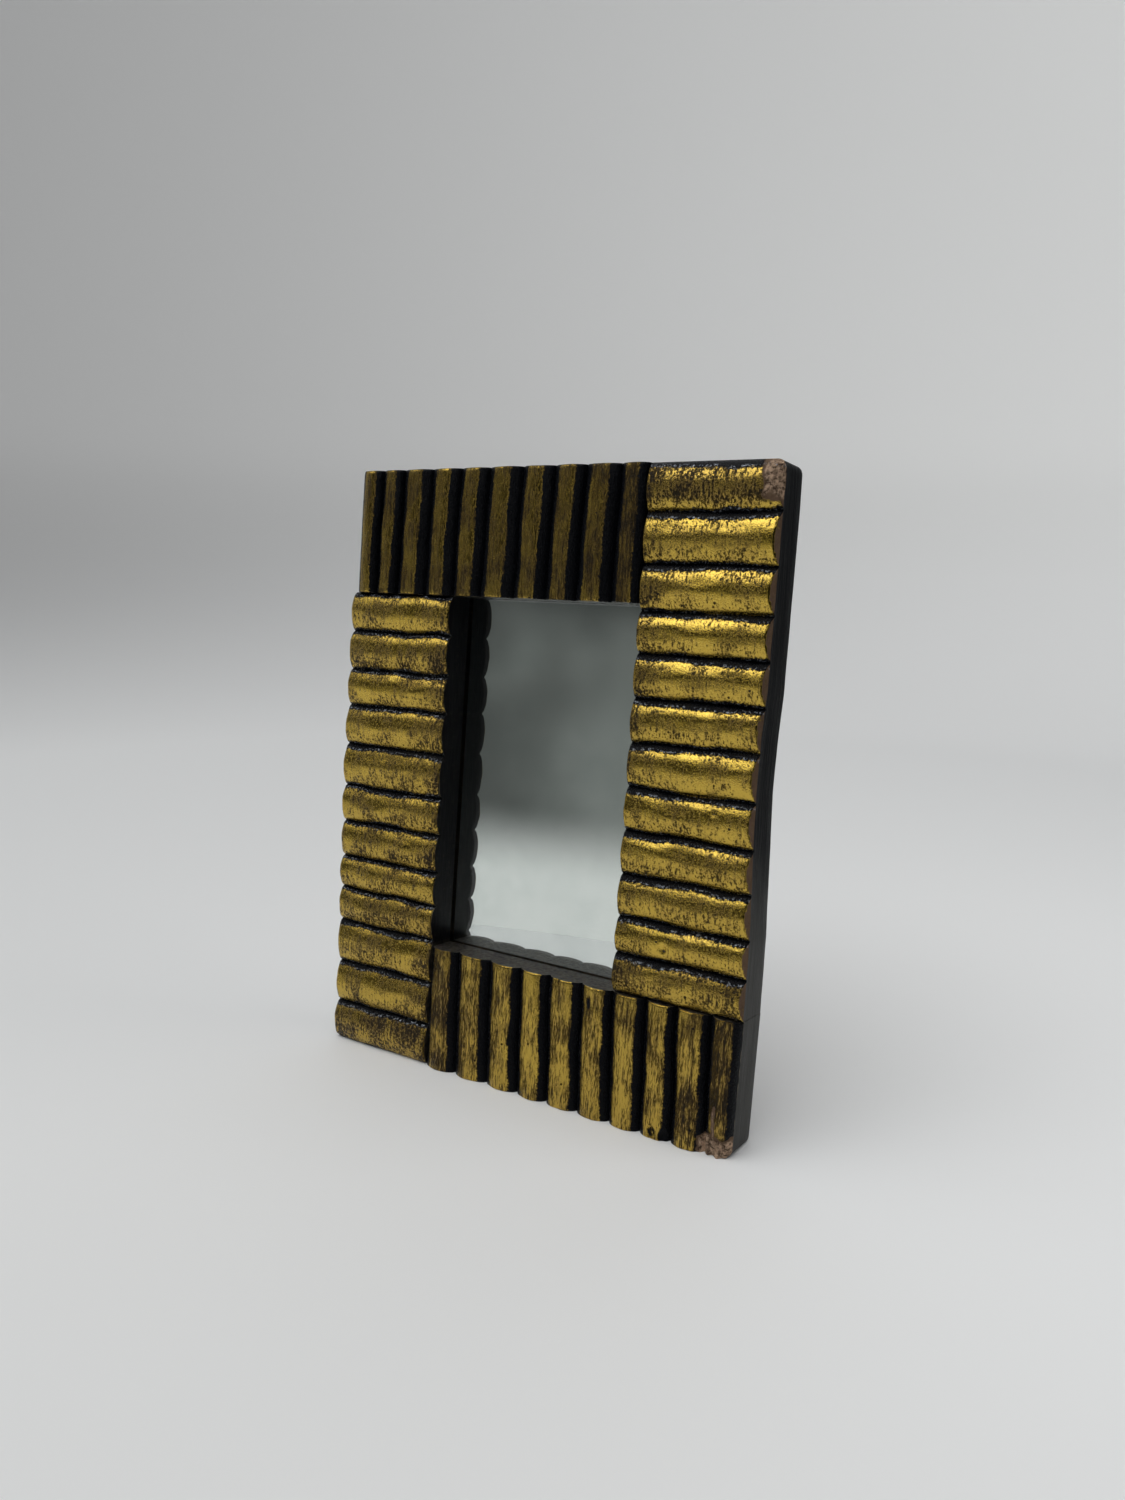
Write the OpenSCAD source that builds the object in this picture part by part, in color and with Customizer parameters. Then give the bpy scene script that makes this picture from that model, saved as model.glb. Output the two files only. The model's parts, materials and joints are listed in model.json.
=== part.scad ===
// Small carved frame that holds a mirror and stands on a table on an easel strut.
// Four reeded rails meet in a pinwheel of dowelled butt joints: each rail runs on past
// one corner and stops against its neighbour at the other.
//
// Frame space, used by most modules: X to the right, Y towards the back with zero at
// the bottom of the carved grooves, Z up from the bottom edge. leaning() stands that
// space up on the table, tipped backwards.

/* [Frame] */
// Overall width
frame_w = 165; // [150:1:190]
// Overall height, measured along the face
frame_h = 216; // [200:1:250]
// Width of every rail and stile
rail_w = 44.5; // [40:0.5:50]
// Thickness of a rail from its back to the bottom of its grooves
rail_t = 14.5; // [14:0.5:18]
// Height of a reed's crest above the grooves
crest_h = 3; // [1.5:0.1:4]
// Backward lean of the standing frame, in degrees
lean = 6; // [3:0.5:8]

/* [Reeds] */
// Relative widths of the top rail's reeds, left to right
top_reeds = [0.8, 0.8, 1.05, 1.05, 1, 1.15, 1.05, 1, 1.1, 0.9]; // [0.7:0.05:1.3]
// Relative widths of the bottom rail's reeds, left to right
bottom_reeds = [1.05, 1.15, 1.1, 1, 1.05, 1, 1, 0.95, 0.9, 0.8]; // [0.7:0.05:1.3]
// Relative widths of the left stile's reeds, bottom to top
left_reeds = [1.05, 1.1, 1.1, 0.9, 0.85, 0.95, 0.95, 1.1, 1.05, 0.95, 1, 1]; // [0.7:0.05:1.3]
// Relative widths of the right stile's reeds, bottom to top
right_reeds = [0.95, 0.85, 1, 1, 1, 1.05, 1, 1, 0.95, 1.05, 1.15, 1.1]; // [0.7:0.05:1.3]

/* [Mirror and backing] */
// Depth from the bottom of the grooves to the mirror's front face
mirror_depth = 10; // [9:0.5:10.5]
// Width of the ledge that holds the mirror's edge
ledge_w = 6; // [4:0.5:8]
// Gap between the rebate's wall and the sheets in it
sheet_gap = 0.5; // [0.2:0.1:1]
// Thickness of the mirror glass
glass_t = 2; // [1.5:0.5:2]
// Thickness of the protective card behind the mirror
card_t = 0.4; // [0.3:0.1:0.8]

/* [Corner joints] */
// Diameter of a corner dowel
dowel_d = 6; // [5:0.5:6]
// Length of a corner dowel
dowel_len = 30; // [20:1:40]
// Distance between the two dowels of a joint
dowel_spacing = 22; // [16:1:28]

/* [Turn buttons] */
// Distance from a button's pivot to its tip
button_reach = 14; // [12:1:18]
// Width of a button
button_w = 8.4; // [7:0.2:10]
// Thickness of a button
button_t = 1.2; // [0.8:0.1:1.5]
// Height of the lower pair of buttons above the frame's bottom edge
button_low = 75; // [70:1:85]
// Height of the upper pair of buttons above the frame's bottom edge
button_high = 141; // [130:1:146]

/* [Easel strut] */
// Height of the strut's hinge above the frame's bottom edge
hinge_z = 150; // [140:1:155]
// Angle between the open strut and the back board, in degrees
strut_open = 18; // [14:0.5:30]
// Width of the strut at its foot
strut_foot_w = 44; // [30:1:60]
// Width of the strut at the hinge
strut_top_w = 28; // [24:1:36]
// Thickness of the strut
strut_t = 2.8; // [2.2:0.1:3]

/* [Hidden] */
$fn = 64;

gilt = [0.55, 0.44, 0.18];
open_w = frame_w - 2 * rail_w;
open_h = frame_h - 2 * rail_w;
side_run = frame_w - rail_w;
upright_run = frame_h - rail_w;

// Depths of the sheets in the rebate, from the front
silver_t = 0.1;
silver_y = mirror_depth + glass_t;
card_y = silver_y + silver_t;
board_y = card_y + card_t;
board_t = rail_t - board_y;
sheet_w = open_w + 2 * (ledge_w - sheet_gap);
sheet_h = open_h + 2 * (ledge_w - sheet_gap);

// Flat bottom of the groove between two reeds
groove_w = 0.4;

dowel_chamfer = 0.8;
glue_gap = 0.5;

// Turn buttons and their screws
button_x = open_w / 2 + ledge_w + 8;
button_gap = 0.1;
screw_r = 1.5;
screw_run = 0.05;
screw_grip = 10;
screw_head_r = 3.2;
screw_head_h = 1.6;
screw_slot_w = 0.8;

// Strut hinge. In hinge space the pin lies along X, Y points away from the board and
// Z runs up the board
knuckle_r = 2;
pin_r = 1;
pin_run = 0.05;
pin_head_r = 1.7;
pin_head_t = 0.7;
leaf_w = 26;
leaf_t = 0.8;
leaf_h = 20;
strut_leaf_w = 20;
centre_knuckle_w = 13.6;
knuckle_gap = 0.2;
stop_gap = 0.05;
rivet_r = 1.2;
rivet_head_r = 2.4;
rivet_head_t = 0.7;
rivet_x = 6.5;
rivet_z = 14;
strut_shoulder = 3;
hinge_y = rail_t + knuckle_r + knuckle_gap;
strut_back = knuckle_r - leaf_t;
board_leaf_back = leaf_t - knuckle_r - knuckle_gap;
// Height of the strut leaf's heel above the pin: its end lands on the board leaf when
// the strut is fully open
heel_h = (strut_back * cos(strut_open) - board_leaf_back - stop_gap) / sin(strut_open);

// Where the standing frame's hinge and the strut's foot come to be, seen from the side
splay = strut_open - lean;
sink = crest_h * sin(lean);
hinge_high = hinge_z * cos(lean) - hinge_y * sin(lean) - sink;
hinge_back = hinge_y * cos(lean) + hinge_z * sin(lean);
foot_back = hinge_back + hinge_high * tan(splay) + strut_back / cos(splay);
centre_y = (foot_back - crest_h * cos(lean)) / 2;
strut_len = hinge_high / cos(splay) + 5;

// Stands the frame space on the table, with the origin under the middle of the object
module leaning() {
    translate([0, -centre_y, -sink]) rotate([-lean, 0, 0]) children();
}

// Planes a foot flat where it meets the table
module planed() {
    difference() {
        children();
        translate([-frame_w, -frame_h, -30]) cube([2 * frame_w, 2 * frame_h, 30]);
    }
}

// Sum of a list's first n numbers
function first(list, n) = n == 0 ? 0 : list[n - 1] + first(list, n - 1);

// Where reed i begins along a rail of that length
function reed_edge(weights, run, i) = run * first(weights, i) / first(weights, len(weights));

// One convex reed along Z: a cylinder sunk in the rail so that its edges meet the grooves
module reed(width) {
    radius = (width * width / 4 + crest_h * crest_h) / (2 * crest_h);
    translate([width / 2, radius - crest_h, 0]) cylinder(r = radius, h = rail_w);
}

// A rail along X with its reeds across it, before its joints are cut
module reeded_rail(weights, run) {
    intersection() {
        translate([0, -2 * crest_h, 0]) cube([run, 2 * crest_h + rail_t, rail_w]);
        union() {
            cube([run, rail_t, rail_w]);
            for (i = [0:len(weights) - 1]) {
                left = reed_edge(weights, run, i);
                pitch = reed_edge(weights, run, i + 1) - left;
                translate([left + groove_w / 2, 0, 0]) reed(pitch - groove_w);
            }
        }
    }
}

// A rail turned upright, with its first reed at the bottom
module reeded_stile(weights, run) {
    translate([rail_w, 0, 0]) rotate([0, -90, 0]) reeded_rail(weights, run);
}

// The rebate behind the opening, open to the back
module rebate() {
    translate([-open_w / 2 - ledge_w, mirror_depth, rail_w - ledge_w])
        cube([open_w + 2 * ledge_w, rail_t, open_h + 2 * ledge_w]);
}

// Each corner joint: its X, its Z, and the turn of its dowels from upright
corner_joints = [
    [(rail_w - frame_w) / 2, upright_run, 0],
    [side_run - frame_w / 2, frame_h - rail_w / 2, 90],
    [(frame_w - rail_w) / 2, rail_w, 0],
    [rail_w - frame_w / 2, rail_w / 2, 90]
];

// Puts a peg where dowel i goes, two to a joint
module at_dowel(i) {
    joint = corner_joints[floor(i / 2)];
    side = i % 2 == 0 ? -1 : 1;
    translate([joint[0], rail_t / 2, joint[1]]) rotate([0, joint[2], 0])
        translate([side * dowel_spacing / 2, 0, 0]) children();
}

module dowel_holes() {
    for (i = [0:7]) at_dowel(i)
        cylinder(d = dowel_d, h = dowel_len + 2 * glue_gap, center = true);
}

// Puts a part on button i's pivot, turned so that the button's tip points at the board
module at_button(i) {
    side = i % 2 == 0 ? -1 : 1;
    height = i < 2 ? button_low : button_high;
    translate([side * button_x, rail_t, height]) rotate([-90, 0, 0])
        rotate([0, 0, side < 0 ? 0 : 180]) children();
}

module screw_holes() {
    for (i = [0:3]) at_button(i)
        translate([0, 0, -screw_grip]) cylinder(r = screw_r, h = screw_grip + 1);
}

// Cuts what every rail has cut out of it
module joinery() {
    difference() {
        children();
        rebate();
        dowel_holes();
        screw_holes();
    }
}

module top_rail() {
    color(gilt) leaning() joinery()
        translate([-frame_w / 2, 0, upright_run]) reeded_rail(top_reeds, side_run);
}

module right_stile() {
    color(gilt) leaning() joinery()
        translate([open_w / 2, 0, rail_w]) reeded_stile(right_reeds, upright_run);
}

module bottom_rail() {
    color(gilt) planed() leaning() joinery()
        translate([-open_w / 2, 0, 0]) reeded_rail(bottom_reeds, side_run);
}

module left_stile() {
    color(gilt) planed() leaning() joinery()
        translate([-frame_w / 2, 0, 0]) reeded_stile(left_reeds, upright_run);
}

// A glued beech dowel with chamfered ends
module corner_dowel(i) {
    r = dowel_d / 2;
    c = dowel_chamfer;
    half = dowel_len / 2;
    color("burlywood") leaning() at_dowel(i) rotate_extrude()
        polygon([[0, -half], [r - c, -half], [r, c - half], [r, half - c], [r - c, half], [0, half]]);
}

// A sheet that lies in the rebate
module sheet(depth, thickness) {
    translate([-sheet_w / 2, depth, rail_w - ledge_w + sheet_gap])
        cube([sheet_w, thickness, sheet_h]);
}

module mirror_glass() {
    color("lightblue", 0.4) leaning() sheet(mirror_depth, glass_t);
}

module mirror_silvering() {
    color("silver") leaning() sheet(silver_y, silver_t);
}

module backing_card() {
    color("tan") leaning() sheet(card_y, card_t);
}

// Hardboard panel, drilled for the hinge's two rivets
module back_board() {
    color("sienna") leaning() difference() {
        sheet(board_y, board_t);
        at_hinge(0) board_rivet_shanks();
    }
}

// Flat brass button that turns on its screw to let the back board out
module turn_button(i) {
    r = button_w / 2;
    color("goldenrod") leaning() at_button(i) translate([0, 0, button_gap]) difference() {
        union() {
            cylinder(r = r, h = button_t);
            translate([0, -r, 0]) cube([button_reach - r, button_w, button_t]);
            translate([button_reach - r, 0, 0]) cylinder(r = r, h = button_t);
        }
        translate([0, 0, -1]) cylinder(r = screw_r + screw_run, h = button_t + 2);
    }
}

// Cross-slotted screw with a cheese head over the button
module turn_button_screw(i) {
    head_z = 2 * button_gap + button_t;
    slot_depth = screw_head_h / 2;
    edge = 0.5;
    color("silver") leaning() at_button(i) difference() {
        rotate_extrude() polygon([
            [0, -screw_grip], [screw_r, screw_r - screw_grip], [screw_r, head_z], [screw_head_r, head_z],
            [screw_head_r, head_z + screw_head_h - edge], [screw_head_r - edge, head_z + screw_head_h],
            [0, head_z + screw_head_h]
        ]);
        for (turn = [0, 90]) rotate([0, 0, turn])
            translate([-screw_slot_w / 2, -screw_head_r / 2, head_z + screw_head_h - slot_depth])
                cube([screw_slot_w, screw_head_r, slot_depth + 1]);
    }
}

// Puts a part on the strut's hinge pin, swung away from the board by an angle
module at_hinge(angle) {
    translate([0, hinge_y, hinge_z]) rotate([angle, 0, 0]) children();
}

// A piece of hinge knuckle along X
module knuckle(from_x, to_x, radius = knuckle_r) {
    translate([from_x, 0, 0]) rotate([0, 90, 0]) cylinder(r = radius, h = to_x - from_x);
}

// Puts a part at the hinge's two rivets, along Y
module at_rivets(height) {
    for (side = [-1, 1]) translate([side * rivet_x, 0, height]) rotate([-90, 0, 0]) children();
}

// Shanks that hold the board leaf, from the board's front face to the leaf's back
module board_rivet_shanks() {
    front = board_y - hinge_y;
    translate([0, front, 0]) at_rivets(rivet_z) cylinder(r = rivet_r, h = board_leaf_back - front);
}

// Upper hinge leaf, on the board, with the two outer knuckles
module hinge_board_leaf() {
    inner = centre_knuckle_w / 2 + knuckle_gap;
    color("gray") leaning() at_hinge(0) difference() {
        union() {
            translate([-leaf_w / 2, board_leaf_back - leaf_t, 0]) cube([leaf_w, leaf_t, leaf_h]);
            knuckle(-leaf_w / 2, -inner);
            knuckle(inner, leaf_w / 2);
        }
        knuckle(-leaf_w, leaf_w, pin_r);
        translate([-inner, -2 * knuckle_r, -knuckle_r])
            cube([2 * inner, 4 * knuckle_r, 2 * knuckle_r + 2 * knuckle_gap]);
        board_rivet_shanks();
    }
}

// A rivet's domed head, standing on z = 0
module rivet_head() {
    ball_r = (rivet_head_r * rivet_head_r + rivet_head_t * rivet_head_t) / (2 * rivet_head_t);
    intersection() {
        translate([0, 0, rivet_head_t - ball_r]) sphere(r = ball_r);
        cylinder(r = rivet_head_r, h = rivet_head_t);
    }
}

module hinge_board_rivets() {
    color("silver") leaning() at_hinge(0) {
        board_rivet_shanks();
        translate([0, board_leaf_back, 0]) at_rivets(rivet_z) rivet_head();
    }
}

// Headed pin, held in the outer knuckles
module hinge_pin() {
    reach = leaf_w / 2;
    color("silver") leaning() at_hinge(0) {
        knuckle(-reach, reach, pin_r);
        knuckle(-reach - pin_head_t, -reach, pin_head_r);
        knuckle(reach, reach + pin_head_t, pin_head_r);
    }
}

// Shanks that hold the strut leaf, right through the strut
module strut_rivet_shanks() {
    translate([0, strut_back - strut_t, 0]) at_rivets(-rivet_z)
        cylinder(r = rivet_r, h = strut_t + leaf_t);
}

// Tapered hardboard leg
module easel_strut() {
    color("saddlebrown") planed() leaning() at_hinge(strut_open) difference() {
        translate([0, strut_back, 0]) rotate([90, 0, 0]) linear_extrude(strut_t) polygon([
            [-strut_top_w / 2, -strut_shoulder], [-strut_foot_w / 2, -strut_len],
            [strut_foot_w / 2, -strut_len], [strut_top_w / 2, -strut_shoulder]
        ]);
        strut_rivet_shanks();
    }
}

// Lower hinge leaf, on the strut's back, with the centre knuckle and the heel that
// stops the strut when it is open
module hinge_strut_leaf() {
    half = centre_knuckle_w / 2;
    collar = knuckle_r + 2 * knuckle_gap;
    color("gray") leaning() at_hinge(strut_open) difference() {
        union() {
            translate([-strut_leaf_w / 2, strut_back, -leaf_h])
                cube([strut_leaf_w, leaf_t, leaf_h - collar]);
            translate([-half, strut_back, -leaf_h]) cube([2 * half, leaf_t, leaf_h + heel_h]);
            knuckle(-half, half);
        }
        knuckle(-leaf_w, leaf_w, pin_r + pin_run);
        strut_rivet_shanks();
    }
}

module hinge_strut_rivets() {
    color("silver") leaning() at_hinge(strut_open) {
        strut_rivet_shanks();
        translate([0, knuckle_r, 0]) at_rivets(-rivet_z) rivet_head();
    }
}

top_rail();
right_stile();
bottom_rail();
left_stile();
for (i = [1:8]) corner_dowel(i - 1);
mirror_glass();
mirror_silvering();
backing_card();
back_board();
for (i = [1:4]) turn_button(i - 1);
for (i = [1:4]) turn_button_screw(i - 1);
hinge_board_leaf();
hinge_board_rivets();
hinge_pin();
easel_strut();
hinge_strut_leaf();
hinge_strut_rivets();
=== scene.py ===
"""Looks for the carved mirror frame: hand-carved rails, mirror, back and easel strut.

Frame space, used for all modelling, is the CAD's: millimetres, X to the right, Y towards the
back with zero at the bottom of the carved grooves, Z up from the frame's bottom edge.
FRAME_TO_WORLD stands it up on the table, leaning back.
"""

import json
import math

import bmesh
import bpy
import numpy as np
from mathutils import Matrix, Vector, noise

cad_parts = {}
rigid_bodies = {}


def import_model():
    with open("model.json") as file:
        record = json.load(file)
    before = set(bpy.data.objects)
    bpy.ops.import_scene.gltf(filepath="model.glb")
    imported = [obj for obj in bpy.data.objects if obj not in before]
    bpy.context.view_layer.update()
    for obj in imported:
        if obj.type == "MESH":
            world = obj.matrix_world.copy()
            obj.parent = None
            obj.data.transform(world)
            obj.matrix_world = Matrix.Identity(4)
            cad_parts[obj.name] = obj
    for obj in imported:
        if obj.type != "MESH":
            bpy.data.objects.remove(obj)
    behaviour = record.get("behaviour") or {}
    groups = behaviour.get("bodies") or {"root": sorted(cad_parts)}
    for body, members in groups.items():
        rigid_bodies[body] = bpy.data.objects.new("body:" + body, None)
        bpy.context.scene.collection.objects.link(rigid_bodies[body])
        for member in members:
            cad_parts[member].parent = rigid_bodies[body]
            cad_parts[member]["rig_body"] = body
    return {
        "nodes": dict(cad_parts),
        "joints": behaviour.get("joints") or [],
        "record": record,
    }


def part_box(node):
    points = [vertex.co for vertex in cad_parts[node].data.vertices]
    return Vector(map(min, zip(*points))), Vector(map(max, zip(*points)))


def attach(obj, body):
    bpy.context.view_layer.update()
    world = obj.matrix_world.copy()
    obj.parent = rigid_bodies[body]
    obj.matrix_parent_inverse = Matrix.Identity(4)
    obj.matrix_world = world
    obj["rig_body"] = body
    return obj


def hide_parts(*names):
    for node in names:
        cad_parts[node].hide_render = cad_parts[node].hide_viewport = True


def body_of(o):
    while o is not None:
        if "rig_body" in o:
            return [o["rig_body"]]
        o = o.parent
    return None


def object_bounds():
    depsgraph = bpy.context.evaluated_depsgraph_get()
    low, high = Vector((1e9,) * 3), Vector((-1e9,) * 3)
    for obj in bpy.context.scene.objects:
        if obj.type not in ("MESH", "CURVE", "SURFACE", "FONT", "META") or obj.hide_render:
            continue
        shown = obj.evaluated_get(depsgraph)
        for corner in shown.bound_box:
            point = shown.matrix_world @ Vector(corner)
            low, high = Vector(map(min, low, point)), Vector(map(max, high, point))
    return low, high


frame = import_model()
cad_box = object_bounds()

MM = 0.001

# ---------------------------------------------------------------- the frame's dimensions

# As the CAD has them: the crests' height, the mirror's depth below the grooves, the ledge
# round the mirror, and the glass
CREST = 3.0
MIRROR_DEPTH = 10.0
LEDGE = 6.0
GLASS_T = 2.0


def lean_angle():
    """The frame's backward lean, from the axis that the turn buttons swivel about."""
    axis = next(j["axis"] for j in frame["joints"] if j["name"] == "button_1_turn")
    return math.atan2(-axis[2], axis[1])


LEAN = lean_angle()
FRAME_W = (cad_box[1].x - cad_box[0].x) / MM
FRAME_H = cad_box[1].z / math.cos(LEAN) / MM
stile_low, stile_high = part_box("left_stile")
top_low, top_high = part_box("top_rail")
RAIL_W = (stile_high.x - stile_low.x) / MM
OPEN_W = FRAME_W - 2 * RAIL_W
FRONT_Y = cad_box[0].y / MM + CREST * math.cos(LEAN)
RAIL_T = ((top_high.y / MM - FRONT_Y) - FRAME_H * math.sin(LEAN)) / math.cos(LEAN)
SINK = CREST * math.sin(LEAN)
FRAME_TO_WORLD = (
    Matrix.Scale(MM, 4)
    @ Matrix.Translation((0, FRONT_Y, -SINK))
    @ Matrix.Rotation(-LEAN, 4, "X")
)

# Relative widths of the reeds, as the CAD has them
TOP_REEDS = (0.8, 0.8, 1.05, 1.05, 1, 1.15, 1.05, 1, 1.1, 0.9)
BOTTOM_REEDS = (1.05, 1.15, 1.1, 1, 1.05, 1, 1, 0.95, 0.9, 0.8)
LEFT_REEDS = (1.05, 1.1, 1.1, 0.9, 0.85, 0.95, 0.95, 1.1, 1.05, 0.95, 1, 1)
RIGHT_REEDS = (0.95, 0.85, 1, 1, 1, 1.05, 1, 1, 0.95, 1.05, 1.15, 1.1)


# ---------------------------------------------------------------- small tools

def smooth_noise(x, y, seed):
    """Smooth noise from -1 to 1 with features about one unit across."""
    return noise.noise(Vector((x, y, 17.3 * seed)))


def smooth_step(value, low, high):
    """0 below low, 1 above high, smooth between them. low may be above high."""
    share = min(1.0, max(0.0, (value - low) / (high - low)))
    return share * share * (3 - 2 * share)


def near(a, b, reach):
    """1 where a is at b, falling smoothly to 0 at the distance reach."""
    return smooth_step(abs(a - b), reach, 0)


# ---------------------------------------------------------------- shader helper

class Shader:
    """The node tree of a material or a world, with a short call for each kind of node."""

    # Sockets of the Mix node: its colours a, b and result, then its numbers a, b and result
    COLOURS = (6, 7, 2)
    NUMBERS = (2, 3, 0)

    def __init__(self, owner):
        owner.use_nodes = True
        self.tree = owner.node_tree
        self.bsdf = self.tree.nodes.get("Principled BSDF")
        self.owner = owner

    def node(self, kind, **settings):
        made = self.tree.nodes.new(kind)
        for key, value in settings.items():
            setattr(made, key, value)
        return made

    def feed(self, socket, value):
        """Links an output to a socket, or sets the socket's own value."""
        if isinstance(value, bpy.types.NodeSocket):
            self.tree.links.new(value, socket)
        elif isinstance(value, tuple) and len(value) == 3 and socket.type == "RGBA":
            socket.default_value = (*value, 1)
        else:
            socket.default_value = value

    def set(self, **inputs):
        """Feeds the main shader's sockets, named with underscores for spaces."""
        for key, value in inputs.items():
            self.feed(self.bsdf.inputs[key.replace("_", " ")], value)

    def position(self):
        """Place in frame space, in millimetres, carried by the mesh."""
        return self.node("ShaderNodeAttribute", attribute_name="frame_mm").outputs["Vector"]

    def value(self, name):
        """A number carried by the mesh."""
        return self.node("ShaderNodeAttribute", attribute_name=name).outputs["Fac"]

    def object_mm(self):
        """Place in the object's own space, in millimetres, for meshes from the CAD."""
        place = self.node("ShaderNodeTexCoord").outputs["Object"]
        return self.stretched(place, (1 / MM, 1 / MM, 1 / MM))

    def stretched(self, vector, scale):
        made = self.node("ShaderNodeVectorMath", operation="MULTIPLY")
        self.feed(made.inputs[0], vector)
        made.inputs[1].default_value = scale
        return made.outputs[0]

    def axis(self, vector, letter):
        made = self.node("ShaderNodeSeparateXYZ")
        self.feed(made.inputs[0], vector)
        return made.outputs[letter]

    def noise(self, vector, scale=1.0, detail=3.0, roughness=0.55, distortion=0.0):
        made = self.node("ShaderNodeTexNoise")
        self.feed(made.inputs["Vector"], vector)
        made.inputs["Scale"].default_value = scale
        made.inputs["Detail"].default_value = detail
        made.inputs["Roughness"].default_value = roughness
        made.inputs["Distortion"].default_value = distortion
        return made.outputs["Fac"]

    def dots(self, vector, scale, randomness=1.0):
        """Distance to the nearest of a scatter of points."""
        made = self.node("ShaderNodeTexVoronoi")
        self.feed(made.inputs["Vector"], vector)
        made.inputs["Scale"].default_value = scale
        made.inputs["Randomness"].default_value = randomness
        return made.outputs["Distance"]

    def math(self, operation, a, b=0.0, clamp=False):
        made = self.node("ShaderNodeMath", operation=operation, use_clamp=clamp)
        self.feed(made.inputs[0], a)
        self.feed(made.inputs[1], b)
        return made.outputs[0]

    def times(self, a, b):
        return self.math("MULTIPLY", a, b)

    def plus(self, a, b):
        return self.math("ADD", a, b)

    def invert(self, a):
        return self.math("SUBTRACT", 1.0, a)

    def ramp(self, value, low, high, to_low=0.0, to_high=1.0):
        """Carries value smoothly from the range low..high to to_low..to_high."""
        made = self.node("ShaderNodeMapRange", interpolation_type="SMOOTHSTEP")
        self.feed(made.inputs["Value"], value)
        made.inputs["From Min"].default_value = low
        made.inputs["From Max"].default_value = high
        made.inputs["To Min"].default_value = to_low
        made.inputs["To Max"].default_value = to_high
        return made.outputs["Result"]

    def mix(self, factor, a, b):
        """Colour a where factor is 0, b where it is 1."""
        return self.mixed("RGBA", self.COLOURS, factor, a, b)

    def blend(self, factor, a, b):
        """Number a where factor is 0, b where it is 1."""
        return self.mixed("FLOAT", self.NUMBERS, factor, a, b)

    def mixed(self, data_type, sockets, factor, a, b):
        made = self.node("ShaderNodeMix", data_type=data_type)
        self.feed(made.inputs["Factor"], factor)
        self.feed(made.inputs[sockets[0]], a)
        self.feed(made.inputs[sockets[1]], b)
        return made.outputs[sockets[2]]

    def bump(self, height, depth_mm):
        """Raises the surface by height, where 1 is depth_mm."""
        made = self.node("ShaderNodeBump")
        self.feed(made.inputs["Height"], height)
        made.inputs["Distance"].default_value = depth_mm * MM
        self.tree.links.new(made.outputs["Normal"], self.bsdf.inputs["Normal"])


def new_material(name):
    """The shader of a new material. The material itself is its owner."""
    return Shader(bpy.data.materials.new(name))


# ---------------------------------------------------------------- materials of the rails
# A noise's stretch is in cycles per millimetre along X, Y and Z

GOLD_BRIGHT = (0.585, 0.405, 0.072)
GOLD_DULL = (0.27, 0.175, 0.050)
BLACK_PAINT = (0.0016, 0.0020, 0.0034)
# Pale rims: wear, and along the bevel a painted highlight
RIM_WEAR_AND_HIGHLIGHT = (0.42, 0.36, 0.26)
# Painted glints: the colour of grey metal flecks standing in for the black paint's glints of light
PAINTED_GLINT = (0.50, 0.54, 0.60)

# The side's paint is greyer below the second height, fading to hardly at all above the first
GREYING_HEIGHTS = (105.0, 60.0)


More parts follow.
